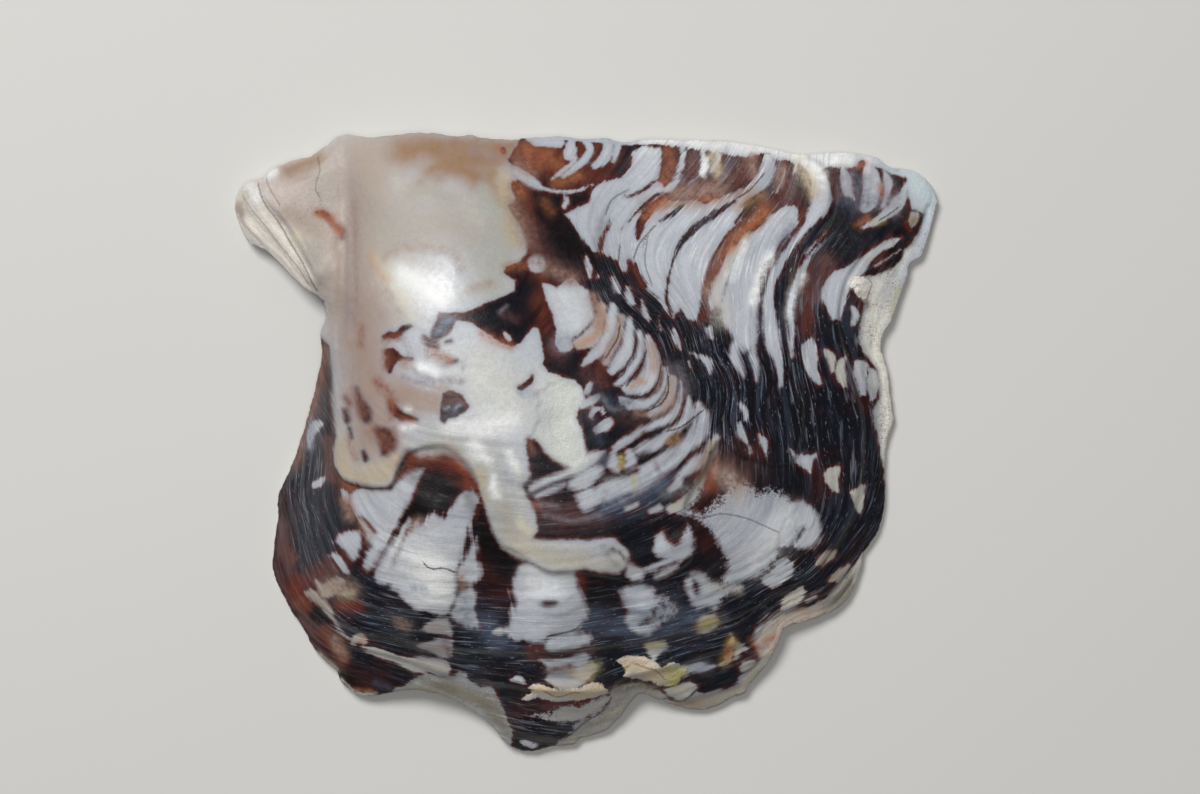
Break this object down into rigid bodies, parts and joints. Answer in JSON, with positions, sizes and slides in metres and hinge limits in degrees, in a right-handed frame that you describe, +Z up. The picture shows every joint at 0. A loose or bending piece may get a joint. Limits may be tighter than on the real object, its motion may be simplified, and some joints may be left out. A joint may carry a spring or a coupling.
{
  "type": "pearl oyster shell",
  "caption": "Left valve of a pearl oyster, outer side up, with a dished hollow under it, an ear with a notch, a long wing and a lobed rim.",
  "frame": {"origin": "middle of the box that bounds the valve in plan, at the surface that it lies on", "axes": "+X along the hinge from the ear to the tip of the wing, +Y from the ventral rim to the hinge, +Z up through the outer side"},
  "size_m": [0.055, 0.0483, 0.0124],
  "materials": {
    "mottled_shell": "natural shell: navy-black and red-brown rays with lilac-white marks, pearly tan beak, pale chalky rim, half gloss outside and nacre inside"
  },
  "bodies": {
    "root": {"shell": "mottled_shell"}
  },
  "joints": []
}
